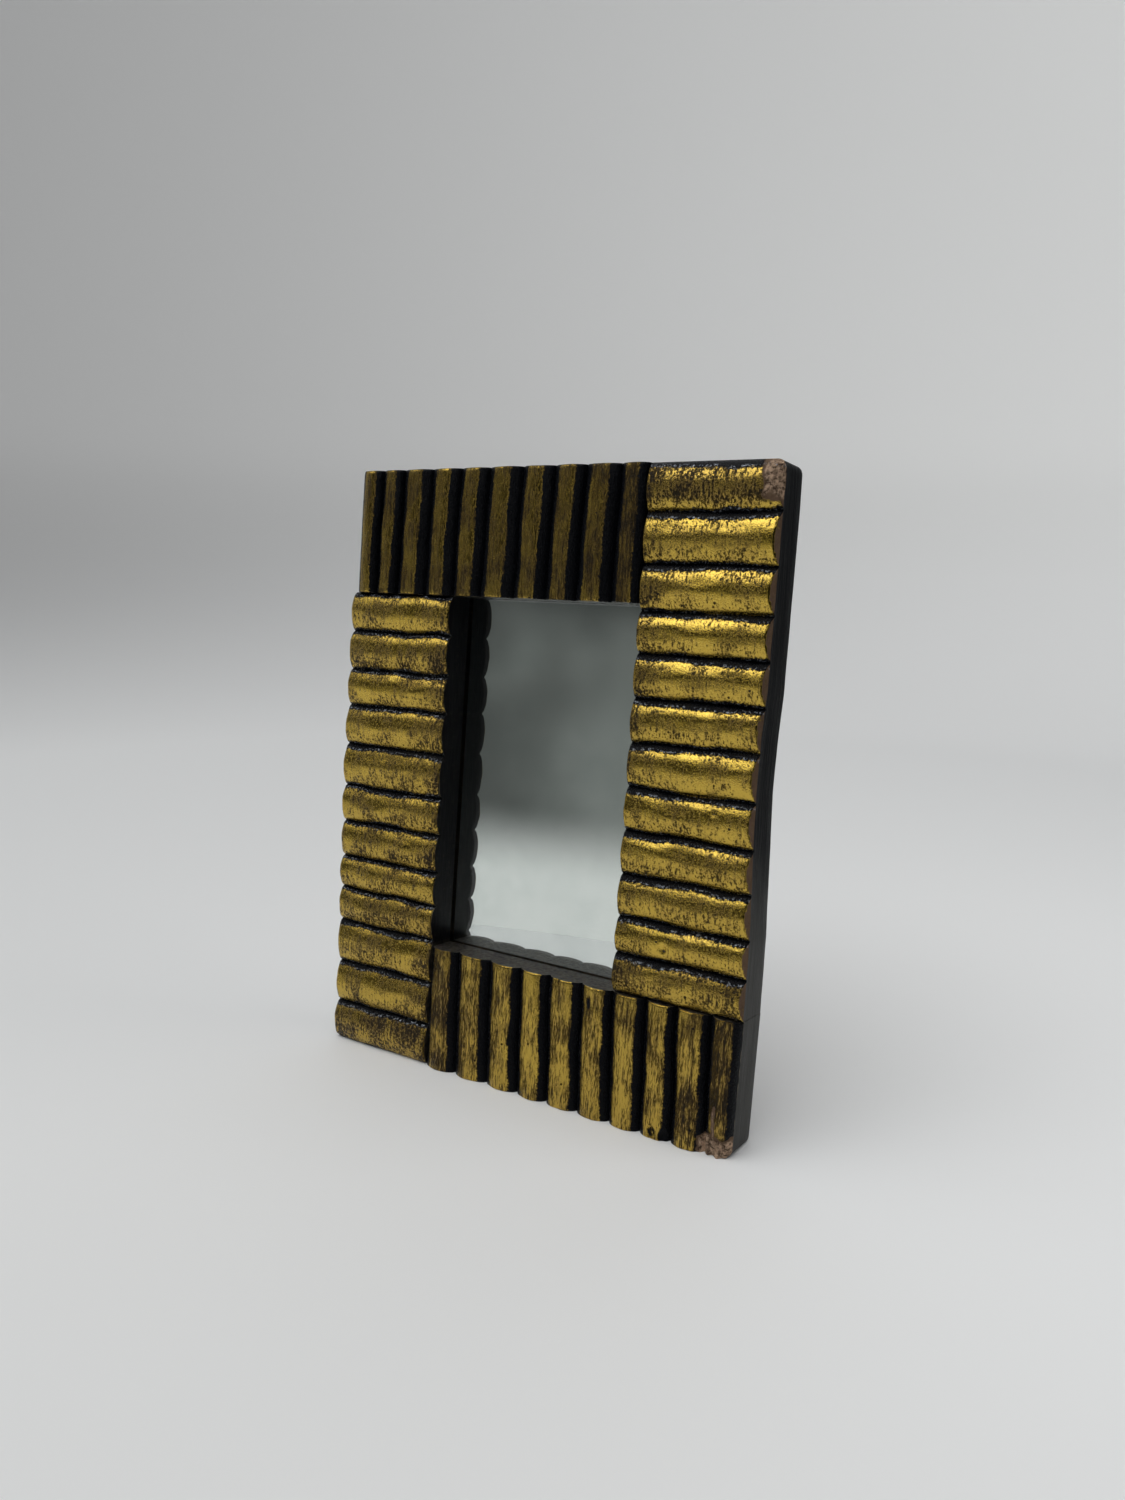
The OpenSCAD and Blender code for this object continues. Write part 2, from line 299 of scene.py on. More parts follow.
def gilt_material(name, fleck_stretch, fraying, painted_glint):
    """Bronze gilding brushed on the crests, black paint in the valleys, bare wood where worn.
    fraying roughens the gilding's edge; the last argument sets how many grey metal flecks are
    painted as glints on the black paint beside it."""
    s = new_material(name)
    place = s.position()
    streaks = s.noise(s.stretched(place, (1.25, 1.1, 0.13)), detail=4, roughness=0.62)
    flecks = s.noise(s.stretched(place, fleck_stretch), detail=4, roughness=0.7)
    patches = s.noise(s.stretched(place, (0.12, 0.12, 0.10)), detail=2)
    dullness = s.value("dullness")

    granules = s.noise(s.stretched(place, (1.1, 1.1, 1.3)), detail=3, roughness=0.8)
    ragged = s.times(s.plus(granules, -0.5), fraying)
    ragged = s.plus(s.times(s.plus(streaks, -0.5), 1.6), ragged)
    cover = s.ramp(s.plus(s.value("gild"), ragged), -0.05, 0.20)
    rubbed = s.plus(s.times(flecks, 0.62), s.times(streaks, 0.38))
    rubbed = s.plus(rubbed, s.plus(s.times(dullness, 0.065), s.times(s.plus(patches, -0.5), 0.25)))
    holes = s.ramp(rubbed, 0.53, 0.64)
    cover = s.times(cover, s.invert(s.times(holes, 0.92)))
    pinholes = s.ramp(s.dots(place, 0.16), 0.085, 0.05)
    cover = s.times(cover, s.invert(pinholes))

    tone = s.ramp(s.plus(s.times(streaks, 0.6), s.times(patches, 0.5)), 0.44, 0.68)
    tone = s.plus(s.times(tone, 0.6), s.times(dullness, 0.45))
    gold = s.mix(s.math("MINIMUM", tone, 1.0), GOLD_BRIGHT, GOLD_DULL)
    colour = s.mix(cover, BLACK_PAINT, gold)

    crumbs = s.noise(place, 0.75, detail=5, roughness=0.75)
    bare = s.ramp(s.plus(s.value("bare"), s.times(s.plus(crumbs, -0.5), 0.9)), 0.36, 0.56)
    pale = s.ramp(s.value("bare"), 0.7, 0.95)
    dark_wood = s.mix(crumbs, (0.085, 0.052, 0.034), (0.24, 0.155, 0.100))
    pale_wood = s.mix(s.ramp(crumbs, 0.38, 0.62), (0.060, 0.036, 0.024), (0.58, 0.40, 0.27))
    colour = s.mix(bare, colour, s.mix(pale, dark_wood, pale_wood))
    # Pale rims: real wear at the rails' edges and round the first chip, and a painted highlight
    # where the bevel cuts the upper half of a reed
    rim = s.ramp(s.times(s.value("rim"), s.noise(place, 0.35, detail=4)), 0.40, 0.52)
    colour = s.mix(s.times(rim, 0.8), colour, RIM_WEAR_AND_HIGHLIGHT)

    # Painted glints: grey metal flecks scattered on the black beside the gilding, standing in for
    # the black varnish glinting in the overhead light
    beside = s.times(s.ramp(s.value("gild"), -1.2, -0.2), s.ramp(s.value("gild"), 0.6, 0.2))
    beside = s.times(beside, s.invert(cover))
    painted_glints = s.times(s.times(s.ramp(granules, 0.54, 0.62), beside), painted_glint)
    colour = s.mix(painted_glints, colour, PAINTED_GLINT)

    solid = s.math("MAXIMUM", bare, rim)
    metal = s.times(s.math("MAXIMUM", cover, painted_glints), s.invert(solid))
    black_gloss = s.ramp(flecks, 0.35, 0.65, 0.12, 0.32)
    gold_gloss = s.ramp(flecks, 0.35, 0.65, 0.11, 0.25)
    gloss = s.blend(cover, black_gloss, gold_gloss)
    s.set(Base_Color=colour, Metallic=metal, Roughness=s.blend(solid, gloss, 0.8))
    s.bsdf.inputs["Specular IOR Level"].default_value = 0.10
    relief = s.plus(s.times(flecks, 0.40), s.times(streaks, 0.14))
    relief = s.plus(relief, s.times(cover, 0.15))
    relief = s.plus(relief, s.times(s.times(granules, s.invert(cover)), 1.1))
    relief = s.plus(relief, s.times(pinholes, -0.8))
    s.bump(s.plus(relief, s.times(s.times(bare, crumbs), 1.8)), 0.34)
    return s.owner


def side_material():
    """Black-brown paint over sawn wood on the frame's outer faces, greyer low down."""
    s = new_material("rubbed_black_side")
    place = s.position()
    grain = s.noise(s.stretched(place, (1.6, 1.6, 0.05)), detail=5, roughness=0.62)
    wide = s.noise(s.stretched(place, (0.16, 0.3, 0.03)), detail=3)
    low = s.ramp(s.axis(place, "Z"), *GREYING_HEIGHTS)
    worn = s.plus(s.times(s.ramp(grain, 0.4, 0.72), 0.5), s.times(s.ramp(wide, 0.4, 0.7), 0.35))
    worn = s.times(worn, s.plus(s.times(low, 0.85), 0.15))
    # Greyer towards the bottom
    low_grey = s.mix(s.times(low, 0.6), (0.003, 0.0035, 0.005), (0.090, 0.088, 0.082))
    colour = s.mix(worn, low_grey, (0.092, 0.090, 0.083))
    scratch = s.times(s.ramp(grain, 0.66, 0.72), s.ramp(wide, 0.55, 0.62))
    colour = s.mix(scratch, colour, (0.24, 0.20, 0.15))
    s.set(Base_Color=colour, Roughness=s.ramp(grain, 0.3, 0.7, 0.34, 0.62))
    s.bsdf.inputs["Specular IOR Level"].default_value = 0.06
    s.bump(grain, 0.25)
    return s.owner


def recess_material():
    """Black paint on the opening's inner walls."""
    s = new_material("recess_black")
    place = s.position()
    grain = s.noise(s.stretched(place, (0.9, 1.3, 0.12)), detail=4)
    ledge = s.ramp(s.axis(place, "Z"), RAIL_W + 2.0, RAIL_W + 0.5)
    # Paler in patches, and paler still along the opening's bottom wall
    paler = s.ramp(s.plus(s.noise(place, 0.5, detail=4), s.times(ledge, 0.2)), 0.56, 0.75)
    s.set(
        Base_Color=s.mix(paler, (0.004, 0.004, 0.0045), (0.045, 0.038, 0.028)),
        Roughness=s.ramp(grain, 0.3, 0.7, 0.35, 0.6),
    )
    s.bump(grain, 0.12)
    return s.owner


def back_material(name, stretch):
    """Planed and stained wood on the back, with its grain along the rail."""
    s = new_material(name)
    place = s.position()
    grain = s.noise(s.stretched(place, stretch), detail=6, roughness=0.6, distortion=0.4)
    pores = s.ramp(s.noise(s.stretched(place, stretch), 4.5, detail=3), 0.55, 0.68)
    smear = s.noise(place, 0.045, detail=3)
    colour = s.mix(s.ramp(grain, 0.3, 0.7), (0.055, 0.030, 0.017), (0.15, 0.088, 0.048))
    colour = s.mix(s.times(pores, 0.6), colour, (0.02, 0.012, 0.008))
    colour = s.mix(s.times(s.ramp(smear, 0.45, 0.75), 0.6), colour, (0.026, 0.020, 0.017))
    s.set(Base_Color=colour, Roughness=s.ramp(grain, 0.3, 0.7, 0.55, 0.75))
    s.bump(s.plus(grain, s.times(pores, -0.5)), 0.18)
    return s.owner


# ---------------------------------------------------------------- the four carved rails

# How deep the grooves are cut between reeds, how far a reed droops at its ends, how steep
# the bevel along an outer edge is, and the rounding of a rail's inner edge and its ends
GROOVE_CUT = 0.55
END_DROOP = 0.45
BEVEL_SLOPE = 2.0
INNER_ROUND = 0.6
END_ROUND = 0.7


class Rail:
    """One carved rail. s runs along it from reed to reed, t across it from the frame's
    inner edge, both in millimetres; place(s, t) gives frame-space X and Z."""

    def __init__(self, node, run, reeds, place, **traits):
        self.node = node
        self.run = run
        self.place = place
        self.level = traits["level"]
        self.seed = traits["seed"]
        self.corner_s = traits["corner_s"]
        self.corner_r = traits["corner_r"]
        self.outer_round = traits["outer_round"]
        self.slant = traits["slant"]
        self.gold_low, self.gold_high = traits["gold"]
        self.bevel = traits["bevel"]
        self.dullness = traits["dullness"]
        edges = np.concatenate([[0.0], np.cumsum(reeds)])
        self.edges = edges * run / edges[-1]
        # The rebate starts where the opening does, less its ledge, and runs out of the
        # end that meets the next rail
        start = RAIL_W - LEDGE
        self.rebate = (start, run) if self.corner_s == 0 else (0.0, run - start)

    def edge_at(self, i, t):
        """Where the groove before reed i lies at t: carved by eye, so it wanders."""
        if i == 0 or i == len(self.edges) - 1:
            return self.edges[i]
        wander = 0.62 * smooth_noise(t / 17, i * 3.1, self.seed)
        wander += 0.16 * smooth_noise(t / 6, i * 7.7, self.seed + 1)
        return self.edges[i] + wander + self.slant * (t / RAIL_W - 0.5)

    def reed_of(self, s):
        """Which reed s is on, and its share of the way across that reed."""
        i = int(min(np.searchsorted(self.edges, s, side="right"), len(self.edges) - 1)) - 1
        i = max(i, 0)
        return i, (s - self.edges[i]) / (self.edges[i + 1] - self.edges[i])

    def front(self, s, t):
        """The carved surface at nominal (s, t): its true s, its height over the grooves,
        its distance inside the gilding's edge, how bare the wood is, and how pale its edge is:
        worn round a chip, and a painted highlight where the bevel cuts a reed's upper half."""
        i, share = self.reed_of(s)
        left, right = self.edge_at(i, t), self.edge_at(i + 1, t)
        width = right - left
        q = 2 * share - 1
        relief, uncut = self.reed_height(i, s, t, q, width)
        height, bare = self.bevelled(s, t, uncut)
        # A pale line where the bevel cuts the upper half of a reed: a painted highlight, not wear
        worn = near(uncut - height, 0.12, 0.3) if bare and q > 0.15 else 0.0
        true_s = left + share * width
        x, z = self.place(true_s, t)
        crumbled = corner_damage(self, x, z)
        height -= crumbled * (0.2 + relief) * (1.1 + 1.3 * smooth_noise(x / 1.5, z / 1.5, 5))
        chip, depth = chipped(x, z)
        height -= depth
        gild = self.inside_gilding(i, t, q, width) - 3 * chip
        bare = max(bare, crumbled, bare_patch(self, x, z))
        return true_s, height, gild, bare, max(worn, chip_rim(x, z))

    def reed_height(self, i, s, t, q, width):
        """Reed i's height where it is a share q of the way from its middle to its edge:
        first as a share of CREST, smooth, then in millimetres with the carving's marks."""
        skew = 0.12 * smooth_noise(t / 30, i * 5.3, self.seed + 2)
        bent = q + skew * (1 - q * q)
        crest = CREST * (0.93 + 0.06 * smooth_noise(t / 14, i * 2.3, self.seed + 3))
        radius = (width * width / 4 + crest * crest) / (2 * crest)
        height = math.sqrt(max(radius**2 - (bent * width / 2) ** 2, 0)) - (radius - crest)
        height = max(height, 0.0)
        relief = height / CREST
        height += relief * 0.34 * smooth_noise(s / 3.4, t / 10, self.seed + 4)
        height += relief * 0.05 * smooth_noise(s / 1.5, t / 3.5, self.seed + 5)
        from_groove = (1 - abs(q)) * width / 2
        height -= GROOVE_CUT * math.exp(-((from_groove / GROOVE_CUT) ** 2))
        height -= self.edge_drop(s, t, relief)
        height -= relief * END_DROOP * abs(2 * t / RAIL_W - 1) ** 3
        return relief, height

    def inside_gilding(self, i, t, q, width):
        """Distance inside the edge of the gilding brushed on reed i, negative outside it."""
        spread = 1 + 0.18 * smooth_noise(t / 11, i * 4.9, self.seed + 6)
        spread += 0.06 * smooth_noise(t / 4, i * 6.1, self.seed + 9)
        return min(q - self.gold_low * spread, self.gold_high * spread - q) * width / 2

    def bevelled(self, s, t, height):
        """Cuts the outer bevel, with how far it has cut into the reed there, from 0 to 1."""
        if not self.bevel:
            return height, 0.0
        limit = BEVEL_SLOPE * (RAIL_W - t - self.bevel) + CREST
        limit += 0.45 * smooth_noise(s / 7, t / 9, self.seed + 8)
        if height <= limit:
            return height, 0.0
        return limit, 0.62 * min(1.0, (height - limit) / 0.3)

    def edge_drop(self, s, t, relief):
        """How far the worn edges of the rail have rounded away."""
        wear = 1 + 0.35 * smooth_noise(s / 8, t / 8, self.seed + 7)
        sides = [] if self.bevel else [(RAIL_W - t, self.outer_round * wear)]
        sides += [(t, INNER_ROUND * wear), (s, END_ROUND), (self.run - s, END_ROUND)]
        drop = 0.0
        for gap, radius in sides:
            if gap < radius:
                drop += radius - math.sqrt(radius**2 - (radius - gap) ** 2)
        return drop * (0.3 + 0.7 * relief)

    def rounded(self, s, t):
        """Rounds the rail's free corner in the plane of the frame."""
        r = self.corner_r
        u = s if self.corner_s == 0 else self.run - s
        v = RAIL_W - t
        if u >= r or v >= r:
            return s, t
        a, b = r - max(u, 0), r - max(v, 0)
        pull = max(a, b) / math.hypot(a, b)
        u, v = r - a * pull, r - b * pull
        return (u if self.corner_s == 0 else self.run - u), RAIL_W - v


# A rail's mesh has rows of vertices at these levels: 0 is the carved front, 1 lies RIM_STEP
# under it, and LEVELS gives the depth below the grooves of level 2 and on
RIM_STEP = 0.25
LEVELS = (3.6, MIRROR_DEPTH, RAIL_T - 0.7, RAIL_T)
REBATE_LEVEL = 3
BACK_LEVEL = len(LEVELS) + 1
BACK_CHAMFER = 0.5


def across_values():
    """Positions across a rail, close together near both edges, with one at the ledge."""
    edge = [0.0, 0.15, 0.35, 0.6, 0.95, 1.4, 1.95, 2.6, 3.4]
    inner = list(np.linspace(LEDGE - 1.7, RAIL_W - 4.2, 58))
    values = edge + inner + [RAIL_W - e for e in reversed(edge)] + [LEDGE]
    return np.array(sorted(set(round(float(v), 4) for v in values)))


def along_values(rail):
    """Positions along a rail, close together near its grooves and its ends, with one where
    the rebate ends."""
    cells = 22
    steps = np.linspace(0, 1, cells + 1)
    eased = 0.35 * steps + 0.65 * (0.5 - 0.5 * np.cos(math.pi * steps))
    values = [0.0, 0.3, rail.run - 0.3, rail.rebate[0], rail.rebate[1]]
    for low, high in zip(rail.edges[:-1], rail.edges[1:]):
        values += list(low + eased * (high - low))
    return np.array(sorted(set(round(float(v), 4) for v in values)))


class RailMesh:
    """Builds a rail as one closed mesh: carved front, walls, rebate and back."""

    FRONT, OUTER, INNER, BACK = range(4)

    def __init__(self, rail):
        self.rail = rail
        self.s = along_values(rail)
        self.t = across_values()
        self.points, self.faces, self.kinds, self.facts = [], [], [], []
        self.ids = {}
        self.surface = [[rail.front(s, t) for t in self.t] for s in self.s]

    def vertex(self, i, j, k):
        """The number of the vertex on grid line i along, j across and level k."""
        key = (i, j, k)
        if key not in self.ids:
            self.ids[key] = len(self.points)
            self.points.append(self.where(i, j, k))
            self.facts.append(self.fact(i, j, k))
        return self.ids[key]

    def where(self, i, j, k):
        """The vertex's place in frame space."""
        s, t = self.s[i], self.t[j]
        true_s, height = self.surface[i][j][:2]
        if k < 2:
            s = true_s
            depth = -height + RIM_STEP * k
        else:
            depth = LEVELS[k - 2]
        if k == BACK_LEVEL:
            s = min(max(s, BACK_CHAMFER), self.rail.run - BACK_CHAMFER)
            t = min(max(t, BACK_CHAMFER), RAIL_W - BACK_CHAMFER)
        s, t = self.rail.rounded(s, t)
        x, z = self.rail.place(s, t)
        if k > 0:
            saw = 0.10 * (1 + smooth_noise(x / 11 + z / 11, depth / 6, 3))
            if t > RAIL_W / 2:
                x, z = self.rail.place(s, t - saw)
        x += edge_shift(self.rail.node, x, z)
        return x, depth, z

    def fact(self, i, j, k):
        """What the vertex tells the material: gild, rim, bare, dullness."""
        rail = self.rail
        gild, bare, worn = self.surface[i][j][2:]
        at_rim = i in (0, len(self.s) - 1) or j == 0 or (j == len(self.t) - 1 and not rail.bevel)
        # The rim is real wear at the rail's edges and round a chip, and a painted highlight along
        # the bevel
        rim = 1.0 if k == 0 and at_rim else 0.85 * worn
        return gild, rim, bare, dull_at(rail, self.s[i], self.t[j])

    def solid(self, i, j, k):
        """Whether the cell between grid lines i, i+1 and j, j+1 is wood below level k."""
        if not (0 <= i < len(self.s) - 1 and 0 <= j < len(self.t) - 1):
            return False
        low, high = self.rail.rebate
        middle = (self.s[i] + self.s[i + 1]) / 2
        in_rebate = low < middle < high and self.t[j + 1] <= LEDGE + 1e-6
        return not (in_rebate and k >= REBATE_LEVEL)

    def face(self, kind, *corners):
        self.faces.append([self.vertex(*c) for c in corners])
        self.kinds.append(kind)

    def build(self):
        cells = [(i, j) for i in range(len(self.s) - 1) for j in range(len(self.t) - 1)]
        for i, j in cells:
            self.face(self.FRONT, (i, j, 0), (i + 1, j, 0), (i + 1, j + 1, 0), (i, j + 1, 0))
            back = BACK_LEVEL if self.solid(i, j, REBATE_LEVEL) else REBATE_LEVEL
            self.face(
                self.BACK,
                (i, j, back), (i, j + 1, back), (i + 1, j + 1, back), (i + 1, j, back),
            )
        for k in range(BACK_LEVEL):
            for i, j in cells:
                if self.solid(i, j, k):
                    self.walls(i, j, k)

    def walls(self, i, j, k):
        """The walls of a solid cell, from level k to the next, where its neighbour is empty."""
        if not self.solid(i, j - 1, k):
            kind = self.BACK if k >= REBATE_LEVEL else self.INNER
            self.face(kind, (i, j, k), (i, j, k + 1), (i + 1, j, k + 1), (i + 1, j, k))
        if not self.solid(i, j + 1, k):
            self.face(
                self.OUTER,
                (i, j + 1, k), (i + 1, j + 1, k), (i + 1, j + 1, k + 1), (i, j + 1, k + 1),
            )
        if not self.solid(i - 1, j, k):
            self.face(
                self.OUTER,
                (i, j, k), (i, j + 1, k), (i, j + 1, k + 1), (i, j, k + 1),
            )
        if not self.solid(i + 1, j, k):
            self.face(
                self.OUTER,
                (i + 1, j, k), (i + 1, j, k + 1), (i + 1, j + 1, k + 1), (i + 1, j + 1, k),
            )


# Chips and dents on the front: X, Z, half width, half height, depth. The first is the one
# with a pale broken rim
CHIPS = (
    (56.0, 62.5, 1.3, 1.5, 0.9),
    (56.5, 2.5, 1.5, 2.4, 0.9),
    (60.5, 1.8, 1.4, 1.9, 0.8),
    (31.0, 39.5, 1.8, 3.2, 0.25),
    (47.0, 88.0, 0.9, 0.7, 0.6),
    (70.0, 108.0, 0.8, 0.6, 0.5),
)

# Places where the gilding is thinner, or thicker if negative: X, Z, half width, half height,
# how much
DULL_SPOTS = (
    (60.0, 210.0, 40.0, 10.0, 1.25),
    (60.0, 52.0, 34.0, 9.0, 0.45),
    (79.0, 22.0, 9.0, 34.0, 1.3),
    (68.0, 12.0, 12.0, 16.0, 0.4),
    (-30.0, 22.0, 13.0, 34.0, 0.75),
    (-60.0, 8.0, 34.0, 12.0, 0.7),
    (-60.0, 52.0, 34.0, 8.0, 0.4),
    (-60.0, 146.0, 34.0, 7.0, 0.35),
    (31.0, 194.0, 7.0, 34.0, 0.8),
    (14.0, 190.0, 5.0, 30.0, -0.35),
    (22.0, 182.0, 5.0, 16.0, 0.3),
    (8.0, 20.0, 12.0, 30.0, -0.35),
)


def dull_at(rail, s, t):
    """How thin the gilding is there: 0 is bright, 1 rubbed half away."""
    x, z = rail.place(s, t)
    dull = rail.dullness
    for spot_x, spot_z, half_w, half_h, amount in DULL_SPOTS:
        away = math.hypot((x - spot_x) / half_w, (z - spot_z) / half_h)
        dull += amount * smooth_step(away, 1.0, 0.5)
    if rail.level:
        dull += 0.55 * smooth_step(t, 9, 2)
        dull += 0.35 * smooth_noise(x / 16, z / 9, 14)
    return min(1.6, max(0.0, dull))


def chipped(x, z):
    """How far a place is into a chip, from 0 to 1, and how deep the chip is there."""
    share, depth = 0.0, 0.0
    for chip_x, chip_z, half_w, half_h, deep in CHIPS:
        away = math.hypot((x - chip_x) / half_w, (z - chip_z) / half_h)
        inside = smooth_step(away, 1.2, 0.6)
        share = max(share, inside)
        depth += deep * inside
    return share, depth


def chip_rim(x, z):
    """How far a place is on the pale broken rim of the first chip, from 0 to 1."""
    chip_x, chip_z, half_w, half_h, _ = CHIPS[0]
    away = math.hypot((x - chip_x) / half_w, (z - chip_z) / half_h)
    return near(away, 1.25, 0.4) if x > chip_x else 0.0


# The hand-sawn sides aren't straight: height, then how far the edge stands out there
RIGHT_EDGE = ((0, 1.2), (45, 1.7), (70, 1.5), (87, 0.8), (103, 0.2), (115, -0.2), (132, 0.0),
              (146, 0.7), (204, 0.9), (216, 0.6))
LEFT_EDGE = ((0, 0.0), (30, 0.2), (50, 0.8), (75, 1.3), (97, 1.9), (160, 1.8), (172, 1.6))


def edge_shift(node, x, z):
    """How far a place is carried sideways by the unevenness of the frame's sides."""
    share = smooth_step(abs(x), FRAME_W / 2 - 24, FRAME_W / 2 - 3)
    if x > 0 and node in ("right_stile", "bottom_rail"):
        return share * float(np.interp(z, *zip(*RIGHT_EDGE)))
    if x < 0 and node == "left_stile":
        return -share * float(np.interp(z, *zip(*LEFT_EDGE)))
    return 0.0


def corner_damage(rail, x, z):
    """How crumbled the wood is at the frame's right-hand corners, from 0 to 1."""
    ragged = 2.2 * smooth_noise(x / 3, z / 3, 9)
    gap = FRAME_W / 2 - x
    if rail.node == "bottom_rail":
        return smooth_step(gap + ragged, 12.5, 9.5) * smooth_step(z + ragged, 8.5, 5.5)
    if rail.node == "right_stile":
        high = smooth_step(z + ragged, FRAME_H - 12, FRAME_H - 9)
        return 0.35 * smooth_step(gap + ragged, 7.5, 5.5) * high
    return 0.0


def bare_patch(rail, x, z):
    """Bare wood that hasn't crumbled: the upper right corner and a streak lower down."""
    gap = FRAME_W / 2 - x
    if rail.node == "right_stile":
        ragged = 2.4 * smooth_noise(x / 3.5, z / 3.5, 10)
        high = smooth_step(z + ragged, FRAME_H - 15, FRAME_H - 10)
        return smooth_step(gap + ragged, 7.5, 5.0) * high
    if rail.node == "bottom_rail":
        wander = 0.8 * smooth_noise(z / 5, 0, 12)
        return 0.9 * near(x + wander, 76.6, 1.3) * smooth_step(z, 19, 15)
    return 0.0


def mesh_object(name, points, faces, matrix=FRAME_TO_WORLD):
    """A mesh object in the row frame from points in frame space."""
    mesh = bpy.data.meshes.new(name)
    world = [matrix @ Vector(p) for p in points]
    mesh.from_pydata([tuple(p) for p in world], [], faces)
    mesh.validate()
    mesh.update()
    made = bpy.data.objects.new(name, mesh)
    bpy.context.scene.collection.objects.link(made)
    return made


def plane_to_table(points):
    """Planes off what would reach below the table."""
    planed = []
    for x, y, z in points:
        below = min(0.0, (FRAME_TO_WORLD @ Vector((x, y, z))).z)
        planed.append((x, y, z - below / MM / math.cos(LEAN)))
    return planed


def carve(rail, materials):
    """Makes a rail's object, in place of its CAD node. materials are those of its front,
    outer faces, inner faces and back."""
    builder = RailMesh(rail)
    builder.build()
    points = plane_to_table(builder.points)
    made = mesh_object(f"{rail.node}_carved", points, builder.faces)
    mesh = made.data
    for material in materials:
        mesh.materials.append(material)
    mesh.polygons.foreach_set("material_index", np.array(builder.kinds, np.int32))
    mesh.shade_smooth()
    mesh.set_sharp_from_angle(angle=math.radians(48))
    place = mesh.attributes.new("frame_mm", "FLOAT_VECTOR", "POINT")
    place.data.foreach_set("vector", np.array(points, np.float32).ravel())
    for column, name in enumerate(("gild", "rim", "bare", "dullness")):
        values = np.array([f[column] for f in builder.facts], np.float32)
        mesh.attributes.new(name, "FLOAT", "POINT").data.foreach_set("value", values)
    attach(made, "frame")
    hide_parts(rail.node)


def carved_rails():
    half_w = FRAME_W / 2
    side_run = FRAME_W - RAIL_W
    upright_run = FRAME_H - RAIL_W
    side, recess = side_material(), recess_material()
    upright_gilt = gilt_material("worn_gilding_upright", (3.9, 2.7, 0.46), 2.4, 0.0)
    # The level rails' gilding also carries the painted glints
    level_gilt = gilt_material("worn_gilding_level_painted_glints", (1.3, 1.5, 1.1), 3.0, 0.9)
    level_back = back_material("stained_back_level", (0.05, 0.9, 0.9))
    upright_back = back_material("stained_back_upright", (0.9, 0.9, 0.05))
    rails = [
        Rail("top_rail", side_run, TOP_REEDS, lambda s, t: (s - half_w, upright_run + t),
             level=False, seed=11, corner_s=0, corner_r=1.6, outer_round=1.0, slant=1.0,
             gold=(-0.52, 0.46), bevel=0, dullness=0.8),
        Rail("right_stile", upright_run, RIGHT_REEDS, lambda s, t: (OPEN_W / 2 + t, RAIL_W + s),
             level=True, seed=23, corner_s=1, corner_r=3.0, outer_round=0.8, slant=0.0,
             gold=(-0.90, 0.70), bevel=1.5, dullness=0.0),
        Rail("bottom_rail", side_run, BOTTOM_REEDS, lambda s, t: (s - OPEN_W / 2, RAIL_W - t),
             level=False, seed=37, corner_s=1, corner_r=3.8, outer_round=0.6, slant=1.4,
             gold=(-0.64, 0.58), bevel=0, dullness=0.55),
        Rail("left_stile", upright_run, LEFT_REEDS, lambda s, t: (-OPEN_W / 2 - t, s),
             level=True, seed=53, corner_s=0, corner_r=2.5, outer_round=1.4, slant=0.0,
             gold=(-0.90, 0.78), bevel=0, dullness=0.35),
    ]
    for rail in rails:
        if rail.level:
            carve(rail, (level_gilt, side, recess, upright_back))
        else:
            carve(rail, (upright_gilt, side, recess, level_back))


# ---------------------------------------------------------------- mirror, board and metal

def slab(name, node, low, high, bevel, material):
    """A rectangular sheet between two frame-space corners, with fine bevelled edges, in
    place of a CAD node."""
    (x0, y0, z0), (x1, y1, z1) = low, high
    points = []
    for inset, y in ((bevel, y0), (0, y0 + bevel), (0, y1 - bevel), (bevel, y1)):
        left, right, bottom, top = x0 + inset, x1 - inset, z0 + inset, z1 - inset
        points += [(left, y, bottom), (right, y, bottom), (right, y, top), (left, y, top)]
    faces = [[0, 1, 2, 3], [15, 14, 13, 12]]
    for ring in range(3):
        for n in range(4):
            a, b = 4 * ring + n, 4 * ring + (n + 1) % 4
            faces.append([b, a, a + 4, b + 4])
    made = mesh_object(name, points, faces)
    made.data.materials.append(material)
    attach(made, "frame")
    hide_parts(node)
    return made


def clear_glass():
    """The mirror's glass, its back held a hair off the silvering."""
    glass_low, glass_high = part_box("mirror_glass")
    half_w = (glass_high.x - glass_low.x) / MM / 2
    border = half_w - OPEN_W / 2
    gap = 0.02
    low = (-half_w, MIRROR_DEPTH, RAIL_W - border)
    high = (half_w, MIRROR_DEPTH + GLASS_T - gap, FRAME_H - RAIL_W + border)
    slab("clear_glass", "mirror_glass", low, high, 0.12, glass_material())


def softened(node, width, material):
    """A copy of a CAD node with its hard edges rounded, in its place."""
    source = frame["nodes"][node]
    shape = bmesh.new()
    shape.from_mesh(source.data)
    bmesh.ops.remove_doubles(shape, verts=shape.verts, dist=0.01 * MM)
    bmesh.ops.dissolve_limit(
        shape, angle_limit=math.radians(1), verts=shape.verts, edges=shape.edges
    )
    hard = math.radians(40)
    edges = [e for e in shape.edges if e.is_manifold and e.calc_face_angle(0) > hard]
    bmesh.ops.bevel(
        shape, geom=edges, offset=width * MM, segments=2, profile=0.6, affect="EDGES",
        clamp_overlap=True,
    )
    bmesh.ops.triangulate(shape, faces=[f for f in shape.faces if len(f.verts) > 4])
    mesh = bpy.data.meshes.new(f"{node}_softened")
    shape.to_mesh(mesh)
    shape.free()
    mesh.shade_smooth()
    mesh.set_sharp_from_angle(angle=math.radians(35))
    mesh.materials.append(material)
    made = bpy.data.objects.new(f"{node}_softened", mesh)
    bpy.context.scene.collection.objects.link(made)
    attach(made, body_of(source)[0])
    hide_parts(node)
    return made


